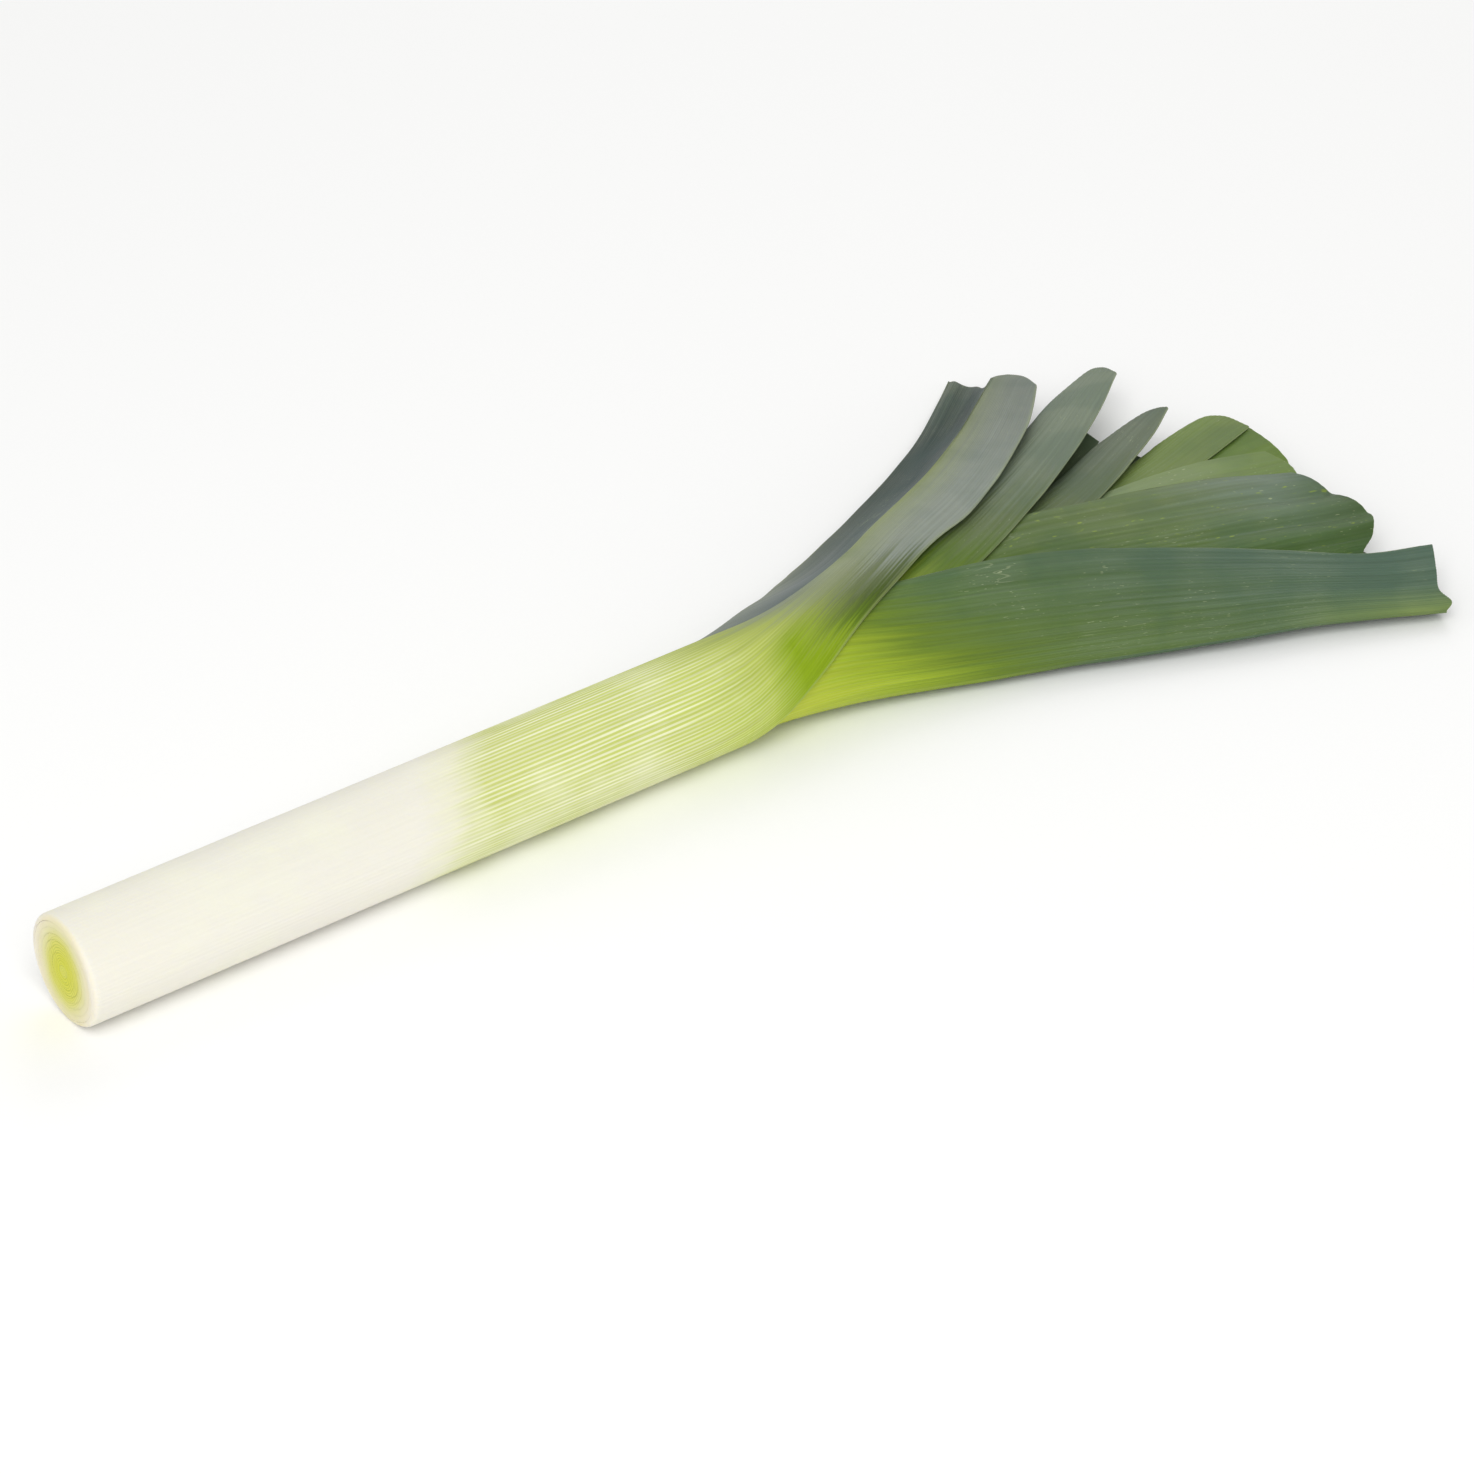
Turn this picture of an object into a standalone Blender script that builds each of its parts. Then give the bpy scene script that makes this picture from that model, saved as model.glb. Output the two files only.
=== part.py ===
"""A trimmed leek lying on its side.

The shaft is a stack of eight sheaths, one inside the other, round a small heart. Each sheath opens at a
mouth and runs on as a blade folded along its keel. The odd leaves fold to the left of the shaft and the
even ones to the right, so that the blades spread into a flat fan. The shaft runs along +X and lies on the
floor, z = 0. The origin is on the floor under the middle of the shaft. Along the leek, all the sizes below
count from its cut end.
"""
import math
from dataclasses import dataclass

import bmesh
import bpy
import numpy as np
from mathutils import Matrix, Vector

MM = 0.001

# The shaft, in mm
SHAFT_RADIUS = 19.0
SHEATH_PITCH = 2.1
SIDES = 20
HALF = SIDES // 2
CUT_EDGE = 0.8
LEAVES = 8
ORIGIN_FROM_CUT = 120.0
HEART_END = 246.0
HEART_RADIUS = SHAFT_RADIUS - LEAVES * SHEATH_PITCH
HEART_TIP = 1.2

# A flat side of the outer sheath lies on the floor, so the axis is one apothem up
AXIS_HEIGHT = SHAFT_RADIUS * math.cos(math.pi / SIDES)

# How the fan lies, as (x, value): its roll about the shaft, how far the stack is pressed flat,
# the height of its middle, and how far the left blades droop 100 mm out
ROLL = [(255, 45), (300, 30), (350, 18), (400, 10), (450, 6), (515, 4.5)]
FLATNESS = [(250, 1.0), (300, 0.87), (350, 0.76), (420, 0.67), (515, 0.64)]
MIDDLE = [(250, AXIS_HEIGHT), (262, AXIS_HEIGHT + 0.15), (330, 17.6), (420, 15.2), (515, 12.9)]
DROOP = [(280, 0), (350, 5), (450, 11), (515, 13)]
GAP = [(225, 0.3), (268, 0.8), (350, 0.7), (515, 0.6)]

# The outer leaf lifts its fold into a ridge and swings its far half out beyond it, like a roof
SWING = [(238, 0.0), (249, 0.2), (261, 0.6), (274, 0.9), (289, 1.0)]
SWING_LAG = 34.0
RIDGE = [(256, 0.0), (300, 6.5), (350, 6.0), (462, 5.0)]
FAR_SAG = [(256, -3), (290, 0), (330, 2)]

# Towards their cut ends the far half of leaf 1 curls and the upper half of leaf 4 is pleated
CURL = 2.5
CURL_FROM, CURL_FULL = 390.0, 450.0
PLEAT = 1.3
PLEAT_FROM, PLEAT_FULL = 430.0, 495.0
PLEAT_SHARE = 0.42
PLEATS = 3

# Stations along a leaf, as shares of the sheath and of the blade
SHEATH_STATIONS = [0.0, 0.45, 0.86, 0.95]
STATION_CROWDING = 1.4
OUTER_LEAVES = 4
OUTER_BLADE_STATIONS = 15
INNER_BLADE_STATIONS = 10

# How far past its mouth a sheath has become a blade, and how near its fold a far half gets its wall
BLADE_FORMS = 50.0
FOLD_SHARE = 0.12
TINY = 1e-9


@dataclass
class Leaf:
    """One leaf. Paths are (x, distance from the shaft's axis towards the leaf's own side), in mm, and the
    cut ends are (share of the way from fold to margin, x)."""
    number: int
    mouth: float
    keel: list
    upper: list
    lower: list
    upper_end: list
    lower_end: list
    colour: str

    @property
    def name(self):
        return f"leaf_{self.number}"

    @property
    def radius(self):
        return SHAFT_RADIUS - SHEATH_PITCH * (self.number - 1)

    @property
    def side(self):
        return 1 if self.number % 2 else -1


# The far margin of leaf 1, as (x, distance out) and (x, height from the fan's middle)
FAR_MARGIN_OUT = [(256, 34), (288, 36), (315, 42.7), (343, 56), (368, 69), (396, 85.3), (430, 109.3),
                  (462, 136.5)]
FAR_MARGIN_UP = [(256, -24), (288, -24), (315, -26), (343, -25), (368, -21), (396, -16.5), (430, -12.5),
                 (462, -7.5)]

FAN = [
    Leaf(1, 256,
         keel=[(250, 19), (290, 19.5), (320, 27), (347, 38), (378, 51.5), (405, 68), (440, 94), (462, 112)],
         upper=[(256, -19), (280, -12), (310, 0), (331, 8), (356, 18), (376, 24), (398, 36), (419, 50),
                (438, 65), (461, 88)],
         lower=[(256, -19), (262, -16), (270, -9), (281, 3), (300, 12), (330, 20), (462, 70)],
         upper_end=[(0, 455), (0.4, 460), (0.7, 464), (1, 461)],
         lower_end=[(0, 455), (0.25, 456), (0.5, 461), (0.75, 458), (1, 460)], colour="#7F8F74"),
    Leaf(2, 272,
         keel=[(262, 16.9), (298, 21), (325, 28), (367, 42), (423, 64), (455, 76), (494, 94), (515, 103)],
         upper=[(272, -16.9), (300, -13), (332, -7), (355, -3), (399, 10), (425, 23), (444, 34), (462, 46),
                (484, 61), (509, 70)],
         lower=[(272, -16.9), (310, -9), (350, 4), (400, 20), (440, 38), (509, 76)],
         upper_end=[(0, 495), (0.3, 498), (0.5, 497), (0.75, 502), (1, 509)],
         lower_end=[(0, 495), (0.5, 498), (1, 500)], colour="#567054"),
    Leaf(3, 282,
         keel=[(268, 14.8), (300, 16), (330, 23), (360, 32), (395, 46), (435, 66), (462, 82), (500, 104)],
         upper=[(282, -14.8), (315, -10), (362, 2), (395, 16), (435, 38), (473, 64.5), (494, 82)],
         lower=[(282, -14.8), (320, -6), (362, 6), (400, 20), (440, 42), (470, 60)],
         upper_end=[(0, 462), (0.25, 470), (0.45, 488), (0.7, 495), (1, 494)],
         lower_end=[(0, 461), (0.5, 466), (1, 467)], colour="#7A8770"),
    Leaf(4, 290,
         keel=[(276, 12.7), (305, 15), (340, 23), (380, 33), (430, 46), (487, 60), (515, 66)],
         upper=[(290, -12.7), (330, -14), (365, -17), (396, -17), (423, -12), (442, -8), (465, -1),
                (498, 12)],
         lower=[(290, -12.7), (340, -8), (400, 4), (450, 18), (498, 30)],
         upper_end=[(0, 486), (0.3, 491), (0.45, 499), (0.6, 504), (0.8, 500), (1, 496)],
         lower_end=[(0, 486), (0.5, 498), (1, 495)], colour="#5C744E"),
    Leaf(5, 298,
         keel=[(284, 10.6), (310, 12), (345, 18), (390, 27), (426, 35), (455, 47), (500, 66)],
         upper=[(298, -10.6), (350, -6), (395, 2), (426, 13), (457, 28.5), (477, 40), (492, 51)],
         lower=[(298, -10.6), (350, -3), (400, 8), (450, 27), (490, 46)],
         upper_end=[(0, 456), (0.3, 463), (0.5, 479), (0.8, 489), (1, 492)],
         lower_end=[(0, 455), (0.5, 464), (1, 470)], colour="#6E7F60"),
    Leaf(6, 306,
         keel=[(292, 8.5), (320, 10), (360, 17), (410, 27), (460, 34), (515, 40)],
         upper=[(306, -8.5), (350, -12), (400, -15), (441, -17), (475, -13), (503, -5)],
         lower=[(306, -8.5), (360, -8), (440, -4), (503, 8)],
         upper_end=[(0, 490), (0.6, 495), (0.9, 501), (1, 499)],
         lower_end=[(0, 490), (0.5, 494), (1, 494)], colour="#6B8147"),
    Leaf(7, 314,
         keel=[(300, 6.4), (330, 8), (370, 14), (420, 22), (461, 32), (491, 42), (515, 49)],
         upper=[(314, -6.4), (360, -3), (420, 3), (479, 15), (508, 24)],
         lower=[(314, -6.4), (360, -2), (420, 6), (508, 28)],
         upper_end=[(0, 473), (0.2, 480), (0.4, 498), (0.6, 504), (1, 507)],
         lower_end=[(0, 472), (0.4, 488), (1, 496)], colour="#78903F"),
    Leaf(8, 322,
         keel=[(308, 4.3), (340, 6), (400, 12), (460, 17), (515, 20)],
         upper=[(322, -4.3), (370, -9), (430, -17), (480, -24), (509, -28)],
         lower=[(322, -4.3), (370, -7), (430, -12), (509, -20)],
         upper_end=[(0, 496), (0.6, 502), (0.8, 507), (1, 508)],
         lower_end=[(0, 495), (0.5, 498), (1, 498)], colour="#7C9638"),
]


def follow(points, x):
    """Value at x of a smooth curve through (position, value) points, level outside them."""
    at, value = np.array(points, float).T
    slope = np.gradient(value, at)
    slope[0] = 0.0
    x = np.clip(x, at[0], at[-1])
    i = np.clip(np.searchsorted(at, x, side="right") - 1, 0, len(at) - 2)
    width = at[i + 1] - at[i]
    t = (x - at[i]) / width
    rise = value[i + 1] - value[i]
    a = slope[i] * width - rise
    b = rise - slope[i + 1] * width
    return value[i] + rise * t + t * (1 - t) * (a * (1 - t) + b * t)


def smooth(start, end, x):
    t = np.clip((x - start) / (end - start), 0, 1)
    return t * t * (3 - 2 * t)


def reach(leaf, x):
    """How far the leaf's fold lies from the axis, and how far its oval reaches on the other side."""
    own = follow(leaf.keel, x)
    pitch = SHEATH_PITCH * follow(FLATNESS, x)
    if leaf.number == 1:
        return own, follow(FAN[1].keel, x) + SHEATH_PITCH
    outer = follow(FAN[leaf.number - 2].keel, x)
    if leaf.number == LEAVES:
        return own, outer - pitch
    return own, (outer + follow(FAN[leaf.number].keel, x)) / 2


def wall_thickness(x):
    return SHEATH_PITCH * follow(FLATNESS, x) - follow(GAP, x)


def oval_half(leaf, x, share, margin):
    """Outer and inner points of half an oval: share is 0 at the fold and 1 at the free margin."""
    own, other = reach(leaf, x)
    height = leaf.radius * follow(FLATNESS, x)
    wall = wall_thickness(x)
    edge = np.clip(follow(margin, x), -other, own)
    full = np.arccos(np.where(edge > 0, edge / own, edge / other))
    full = np.where(x <= leaf.mouth, np.pi, full)
    turn = full * share
    across = np.where(turn < np.pi / 2, own, other) * np.cos(turn)
    up = height * np.sin(turn)
    thin = np.where(turn < np.pi / 2, own - wall, other - wall) * np.cos(turn)
    sheath_up = (height - wall) * np.sin(turn)
    blade_up = up * up / (up + wall + TINY)
    blade = smooth(leaf.mouth, leaf.mouth + BLADE_FORMS, x)
    return (across, up), (thin, sheath_up + blade * (blade_up - sheath_up))


def rise_of_upper_half(leaf, x, share):
    """What lifts an upper half off its oval: the ridge of leaf 1 and the pleats of leaf 4."""
    if leaf.number == 1:
        return follow(RIDGE, x) * (1 - share) ** 2
    if leaf.number == 4:
        free = np.clip((share - PLEAT_SHARE) / (1 - PLEAT_SHARE), 0, 1)
        return PLEAT * smooth(PLEAT_FROM, PLEAT_FULL, x) * np.sin(PLEATS * np.pi * free) ** 2
    return 0 * x


def far_half(leaf, x, share):
    """Outer and inner points of the outer leaf's far half, straight from its ridge to its far margin."""
    own = follow(leaf.keel, x)
    ridge = follow(RIDGE, x)
    along, rise = follow(FAR_MARGIN_OUT, x) - own, follow(FAR_MARGIN_UP, x) - ridge
    length = np.hypot(along, rise)
    normal = np.array([-rise, along]) / length
    curl = CURL * smooth(CURL_FROM, CURL_FULL, x)
    sag = follow(FAR_SAG, x) * np.sin(np.pi * share) + curl * np.sin(1.5 * np.pi * share)
    outer = np.array([own + along * share, ridge + rise * share]) - normal * sag
    wall = wall_thickness(x)
    clear = smooth(0.0, FOLD_SHARE, share)
    down = np.array([0 * x, wall]) * (1 - clear)
    return outer, outer - normal * wall * clear - down


def place(leaf, x, across, up):
    """World point, in metres, of a point of the fan's own section at x."""
    v = leaf.side * across
    roll = np.radians(follow(ROLL, x))
    y = v * np.cos(roll) - up * np.sin(roll)
    droop = follow(DROOP, x) * (np.maximum(v, 0) / 100) ** 2
    z = follow(MIDDLE, x) + v * np.sin(roll) + up * np.cos(roll) - droop
    return np.stack([x - ORIGIN_FROM_CUT, y, z], axis=-1) * MM


def half_grid(leaf, side):
    """Outer and inner points of the half above or below the fold: rows along, columns fold to margin."""
    share = np.linspace(0, 1, HALF + 1)
    ends = follow(leaf.upper_end if side > 0 else leaf.lower_end, share)
    rows = [np.full(HALF + 1, CUT_EDGE if s == 0 else s * leaf.mouth) for s in SHEATH_STATIONS]
    steps = OUTER_BLADE_STATIONS if leaf.number <= OUTER_LEAVES else INNER_BLADE_STATIONS
    for s in np.linspace(0, 1, steps + 1) ** STATION_CROWDING:
        rows.append(leaf.mouth + s * (ends - leaf.mouth))
    x = np.array(rows)
    share = np.broadcast_to(share, x.shape)
    outer, inner = oval_half(leaf, x, share, leaf.upper if side > 0 else leaf.lower)
    outer = np.array([outer[0], side * outer[1]])
    inner = np.array([inner[0], side * inner[1]])
    if side > 0:
        lift = np.array([0 * x, rise_of_upper_half(leaf, x, share)])
        outer, inner = outer + lift, inner + lift
    elif leaf.number == 1:
        far_outer, far_inner = far_half(leaf, x, share)
        swing = follow(SWING, x - SWING_LAG * share ** 1.5)
        outer = outer + swing * (far_outer - outer)
        inner = inner + swing * (far_inner - inner)
    return place(leaf, x, *outer), place(leaf, x, *inner)


def leaf_grid(leaf):
    """Both faces of a leaf, from the lower margin over the fold to the upper margin."""
    upper = half_grid(leaf, 1)
    lower = half_grid(leaf, -1)
    return [np.concatenate([low[:, :0:-1], up], axis=1) for up, low in zip(upper, lower)]


def add_cut_end(grid, inner):
    """A first row at x = 0, drawn in a little on the outer sheath so that its edge is eased."""
    row = grid[0].copy()
    row[:, 0] = -ORIGIN_FROM_CUT * MM
    if not inner:
        centre = np.array([-ORIGIN_FROM_CUT, 0.0, AXIS_HEIGHT]) * MM
        row = centre + (row - centre) * (1 - CUT_EDGE / SHAFT_RADIUS)
    return np.concatenate([row[None], grid])


def leaf_mesh(leaf):
    """A closed body: two faces, a wall along each free margin, and the cuts at both ends."""
    outer, inner = leaf_grid(leaf)
    outer = add_cut_end(outer, leaf.number > 1)
    inner = add_cut_end(inner, True)
    rows, columns = outer.shape[:2]
    mouth_row = len(SHEATH_STATIONS) + 1
    bm = bmesh.new()

    def vertices(grid):
        made = [[bm.verts.new(p) for p in row] for row in grid[:, :-1]]
        for i, row in enumerate(made):
            row.append(row[0] if i <= mouth_row else bm.verts.new(grid[i, -1]))
        return made

    out, into = vertices(outer), vertices(inner)

    def quad(a, b, c, d):
        bm.faces.new((a, b, c))
        bm.faces.new((a, c, d))

    for i in range(rows - 1):
        for j in range(columns - 1):
            quad(out[i][j], out[i][j + 1], out[i + 1][j + 1], out[i + 1][j])
            quad(into[i + 1][j], into[i + 1][j + 1], into[i][j + 1], into[i][j])
    for j in range(columns - 1):
        quad(into[0][j], into[0][j + 1], out[0][j + 1], out[0][j])
        quad(out[-1][j], out[-1][j + 1], into[-1][j + 1], into[-1][j])
    for i in range(mouth_row, rows - 1):
        quad(out[i][0], out[i + 1][0], into[i + 1][0], into[i][0])
        quad(into[i][-1], into[i + 1][-1], out[i + 1][-1], out[i][-1])
    bmesh.ops.recalc_face_normals(bm, faces=bm.faces)
    mesh = bpy.data.meshes.new(leaf.name)
    bm.to_mesh(mesh)
    bm.free()
    return mesh


def linear(hex_colour):
    """sRGB hex to linear colour."""
    def channel(start):
        c = int(hex_colour[start:start + 2], 16) / 255
        return c / 12.92 if c <= 0.04045 else ((c + 0.055) / 1.055) ** 2.4
    return [channel(i) for i in (1, 3, 5)] + [1.0]


def leaf_material(name, colour):
    material = bpy.data.materials.new(name)
    material.use_nodes = True
    shader = material.node_tree.nodes["Principled BSDF"]
    shader.inputs["Base Color"].default_value = linear(colour)
    shader.inputs["Roughness"].default_value = 0.5
    shader.inputs["Metallic"].default_value = 0.0
    return material


def add_object(name, mesh, colour, collection):
    obj = bpy.data.objects.new(name, mesh)
    mesh.materials.append(leaf_material(name, colour))
    mesh.shade_smooth()
    mesh.set_sharp_from_angle(angle=math.radians(50))
    collection.objects.link(obj)
    return obj


def heart_mesh():
    """The youngest leaves, still rolled tight: a slim rod that ends in a blunt point."""
    bm = bmesh.new()
    along_x = Matrix.Rotation(math.pi / 2, 4, "Y")
    middle = Vector((HEART_END / 2 - ORIGIN_FROM_CUT, 0, AXIS_HEIGHT)) * MM
    radius = HEART_RADIUS * MM
    bmesh.ops.create_cone(bm, cap_ends=True, segments=SIDES, radius1=radius, radius2=radius,
                          depth=HEART_END * MM, matrix=Matrix.Translation(middle) @ along_x)
    tip = [edge for edge in bm.edges if all(v.co.x > middle.x for v in edge.verts)]
    bmesh.ops.bevel(bm, geom=tip, offset=HEART_TIP * MM, segments=2, affect="EDGES")
    mesh = bpy.data.meshes.new("heart")
    bm.to_mesh(mesh)
    bm.free()
    return mesh


def main():
    for obj in list(bpy.data.objects):
        bpy.data.objects.remove(obj)
    leek = bpy.data.collections.new("leek")
    bpy.context.scene.collection.children.link(leek)
    for leaf in FAN:
        add_object(leaf.name, leaf_mesh(leaf), leaf.colour, leek)
    add_object("heart", heart_mesh(), "#C9CC4E", leek)


main()
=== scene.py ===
"""A trimmed leek on a pale floor.

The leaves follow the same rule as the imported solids, with many more points, and Geometry Nodes raise their
veins and waves. The shaft runs along +X, and lengths along the leek count in mm from its cut end.
"""
import math
from dataclasses import dataclass

import bmesh
import bpy
import numpy as np
from mathutils import Matrix, Vector


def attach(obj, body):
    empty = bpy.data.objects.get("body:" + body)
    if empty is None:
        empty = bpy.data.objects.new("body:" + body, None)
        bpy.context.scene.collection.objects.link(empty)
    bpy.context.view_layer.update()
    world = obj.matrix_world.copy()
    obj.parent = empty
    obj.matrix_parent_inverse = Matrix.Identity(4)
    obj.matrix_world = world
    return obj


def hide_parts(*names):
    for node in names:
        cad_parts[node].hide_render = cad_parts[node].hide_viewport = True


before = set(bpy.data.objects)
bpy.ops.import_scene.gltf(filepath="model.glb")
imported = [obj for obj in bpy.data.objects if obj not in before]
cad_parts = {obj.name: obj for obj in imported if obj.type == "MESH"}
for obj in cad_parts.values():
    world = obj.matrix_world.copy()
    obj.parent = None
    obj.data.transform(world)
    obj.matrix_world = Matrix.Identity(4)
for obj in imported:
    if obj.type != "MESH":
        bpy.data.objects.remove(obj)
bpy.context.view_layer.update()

bl_info = {
    "name": "Leek",
    "version": (1, 0, 0),
    "blender": (4, 5, 0),
    "location": "View3D > Sidebar > Leek",
    "description": "A trimmed leek with a layered white shaft and a fan of waxy leaves",
    "category": "Add Mesh",
}

MM = 0.001

# The shaft, in mm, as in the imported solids. There it has flat sides, and lies on one of them.
SHAFT_RADIUS = 19.0
SHEATH_PITCH = 2.1
LEAVES = 8
ORIGIN_FROM_CUT = 120.0
HEART_RADIUS = SHAFT_RADIUS - LEAVES * SHEATH_PITCH
HEART_END = 246.0
HEART_TIP = 1.2
HEART_SIDES = 48
HEART_TIP_ROWS = 5
FLAT_SIDES = 20
AXIS_HEIGHT = SHAFT_RADIUS * math.cos(math.pi / FLAT_SIDES)
CUT_FACE = Vector((-ORIGIN_FROM_CUT, 0.0, AXIS_HEIGHT)) * MM

# How the fan lies, as (x, value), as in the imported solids
ROLL = [(255, 45), (300, 30), (350, 18), (400, 10), (450, 6), (515, 4.5)]
FLATNESS = [(250, 1.0), (300, 0.87), (350, 0.76), (420, 0.67), (515, 0.64)]
MIDDLE = [(250, AXIS_HEIGHT), (262, AXIS_HEIGHT + 0.15), (330, 17.6), (420, 15.2), (515, 12.9)]
DROOP = [(280, 0), (350, 5), (450, 11), (515, 13)]
# The gap between the layers, which all but closes on the cut face
GAP = [(0, 0.04), (7, 0.3), (225, 0.3), (268, 0.8), (350, 0.7), (515, 0.6)]

# The outer leaf's ridge and the swing of its far half, which curls up at its cut end
SWING = [(238, 0.0), (249, 0.2), (261, 0.6), (274, 0.9), (289, 1.0)]
SWING_LAG = 34.0
RIDGE = [(256, 0.0), (300, 6.5), (350, 6.0), (462, 5.0)]
FAR_SAG = [(256, -3), (290, 0), (330, 2)]
FAR_MARGIN_OUT = [(256, 34), (288, 36), (315, 42.7), (343, 56), (368, 69), (396, 85.3), (430, 109.3),
                  (462, 136.5)]
FAR_MARGIN_UP = [(256, -24), (288, -24), (315, -26), (343, -25), (368, -21), (396, -16.5), (430, -12.5),
                 (462, -7.5)]
CURL = 2.5
CURL_FROM, CURL_FULL = 390.0, 450.0

# The pleats of leaf 4, a little deeper than those of the solids
PLEAT = 2.0
PLEAT_FROM, PLEAT_FULL = 428.0, 480.0
PLEAT_SHARE = 0.42
PLEATS = 3

# The length over which a sheath becomes a blade, the share of the far half that its fold takes up, and a
# number too small to matter, against division by zero
BLADE_FORMS = 50.0
FOLD_SHARE = 0.12
TINY = 1e-9

# Distances in mm between the rows of points along a leaf, and how far before and past its mouth the rows
# of the collar go. Then the number of rows on the rounded edge, and of points across a vein.
SHEATH_STEP = 7.0
COLLAR_STEP = 2.6
BLADE_STEP = 4.4
COLLAR_BEFORE_MOUTH = 40.0
COLLAR_LENGTH = 75.0
EDGE_ROWS = 6
POINTS_PER_VEIN = 4

# How far the cut layers stand proud, the bulge of a margin as a share of its thickness, the length that the
# UV map of a leaf spans, and the angle in degrees from which an edge shows sharp
CUT_BULGE = 0.12
MARGIN_BULGE = 0.32
UV_LENGTH = 600.0
SHARP_ANGLE = 72.0

# How far before and after a turn of the free margin the veins begin and end to turn with it, the number of
# places that this averages, and the weight of the furthest
VEIN_EASE = 32.0
VEIN_EASE_STEPS = 11
LEAST_WEIGHT = 0.05

# The waves that run along the far half of leaf 1 near its cut end
FAR_WAVE = 1.25
FAR_WAVES = 4.5

# The cut face: its colours as (mm from its middle, colour), its stretch into an oval, how far its rings
# wander, and the distance between its fine lines
CUT_ZONES = [(0.0, "#DADB40"), (5.0, "#DCDB4C"), (9.0, "#DFDC6A"), (11.0, "#E3DF8C"), (14.0, "#EAE4B4"),
             (16.5, "#F1E8C6"), (19.0, "#F6EFDC")]
CUT_SQUEEZE = (0.0, 1.14, 0.88)
CUT_WOBBLE = 1.8
CUT_LINE_SPACING = 0.8

# Streaks along the veins: how often they change from vein to vein and along the leaf, and their pattern's
# number. Specks and flecks are short streaks, with less detail.
FINE, BROAD, LONG = (4.0, 16.0, 0), (0.55, 7.0, 1), (2.2, 5.0, 2)
SPECKS, FLECKS = (7.0, 240.0, 5, 1.0), (4.0, 150.0, 9, 1.0)
SCRATCHES, SCRATCH_PATTERN = (9.0, 8.0, 1.0), 12
CLOUD_SCALE = 34.0
LEAF_SEED = 3.7

# How far broad and long streaks carry a front to and fro, in mm, and the share of that on the sheath
BROAD_FRAY, LONG_FRAY = 40.0, 44.0
SHEATH_FRAY = 0.4

# From where to where before the mouth the front's lean grows, and its slope and start on the sheath, in mm
LEAN_FROM, LEAN_FULL = 105.0, 30.0
SHEATH_SLOPE, SHEATH_START = 27.0, -11.0

# From where to where past the front the stripes begin and end, and the marks of the blade begin, in mm
STRIPES_FROM, STRIPES_FULL, STRIPES_FADE = -116.0, -98.0, -34.0
BLADE_FROM, BLADE_FULL = 8.0, 60.0

# The swells of a sheath as a share of a blade's, and the length on the UV map over which they grow
SHEATH_SWELL = 0.12
SWELL_GROWTH = 0.12
VEIN_PATCHES = (9.0, 14.0, 1.0)

# Sockets of a Mix node, which blends two colours or two values
SHARE, FIRST, SECOND = 0, 6, 7
FIRST_VALUE, SECOND_VALUE = 2, 3


def linear(hex_colour):
    """sRGB hex to linear colour."""
    def channel(start):
        c = int(hex_colour[start:start + 2], 16) / 255
        return c / 12.92 if c <= 0.04045 else ((c + 0.055) / 1.055) ** 2.4
    return (*(channel(i) for i in (1, 3, 5)), 1.0)


@dataclass
class Look:
    """The colours of a leaf, for its upper half and its lower half. On the blade the lower half's zones are
    painted darker than the upper half's, as painted shade where that half turns down and away from the
    light. Zones are (distance, colour by the fold, colour by the free margin), or have one colour for both.
    The distance along the leaf, in mm, counts from a front at front[0] + front[1] * share + front[2] * share
    squared, where share is 0 at the fold and 1 at the free margin. The keel is a band of keel_share beside
    the fold, and the margin a fine line. The last three say how strongly the stripes, the green beside the
    mouth and yellow flecks show."""
    front: tuple
    zones: list
    shaded_lower_zones: list
    keel_colour: str
    keel_share: float
    keel_from: float
    margin_colour: str
    keel_until: float = UV_LENGTH
    margin_strength: float = 0.25
    stripes: float = 0.16
    green_patch: float = 0.0
    flecks: float = 0.0


@dataclass
class Leaf:
    """One leaf. Paths are (x, distance from the shaft's axis towards the leaf's own side), in mm, and the
    cut ends are (share of the way from fold to margin, x)."""
    number: int
    mouth: float
    keel: list
    upper: list
    lower: list
    upper_end: list
    lower_end: list
    veins: int
    look: Look

    @property
    def name(self):
        return f"leaf_{self.number}"

    @property
    def radius(self):
        return SHAFT_RADIUS - SHEATH_PITCH * (self.number - 1)

    @property
    def side(self):
        return 1 if self.number % 2 else -1

    @property
    def columns(self):
        """Rows of quads from the fold to a free margin."""
        return POINTS_PER_VEIN * self.veins


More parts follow.
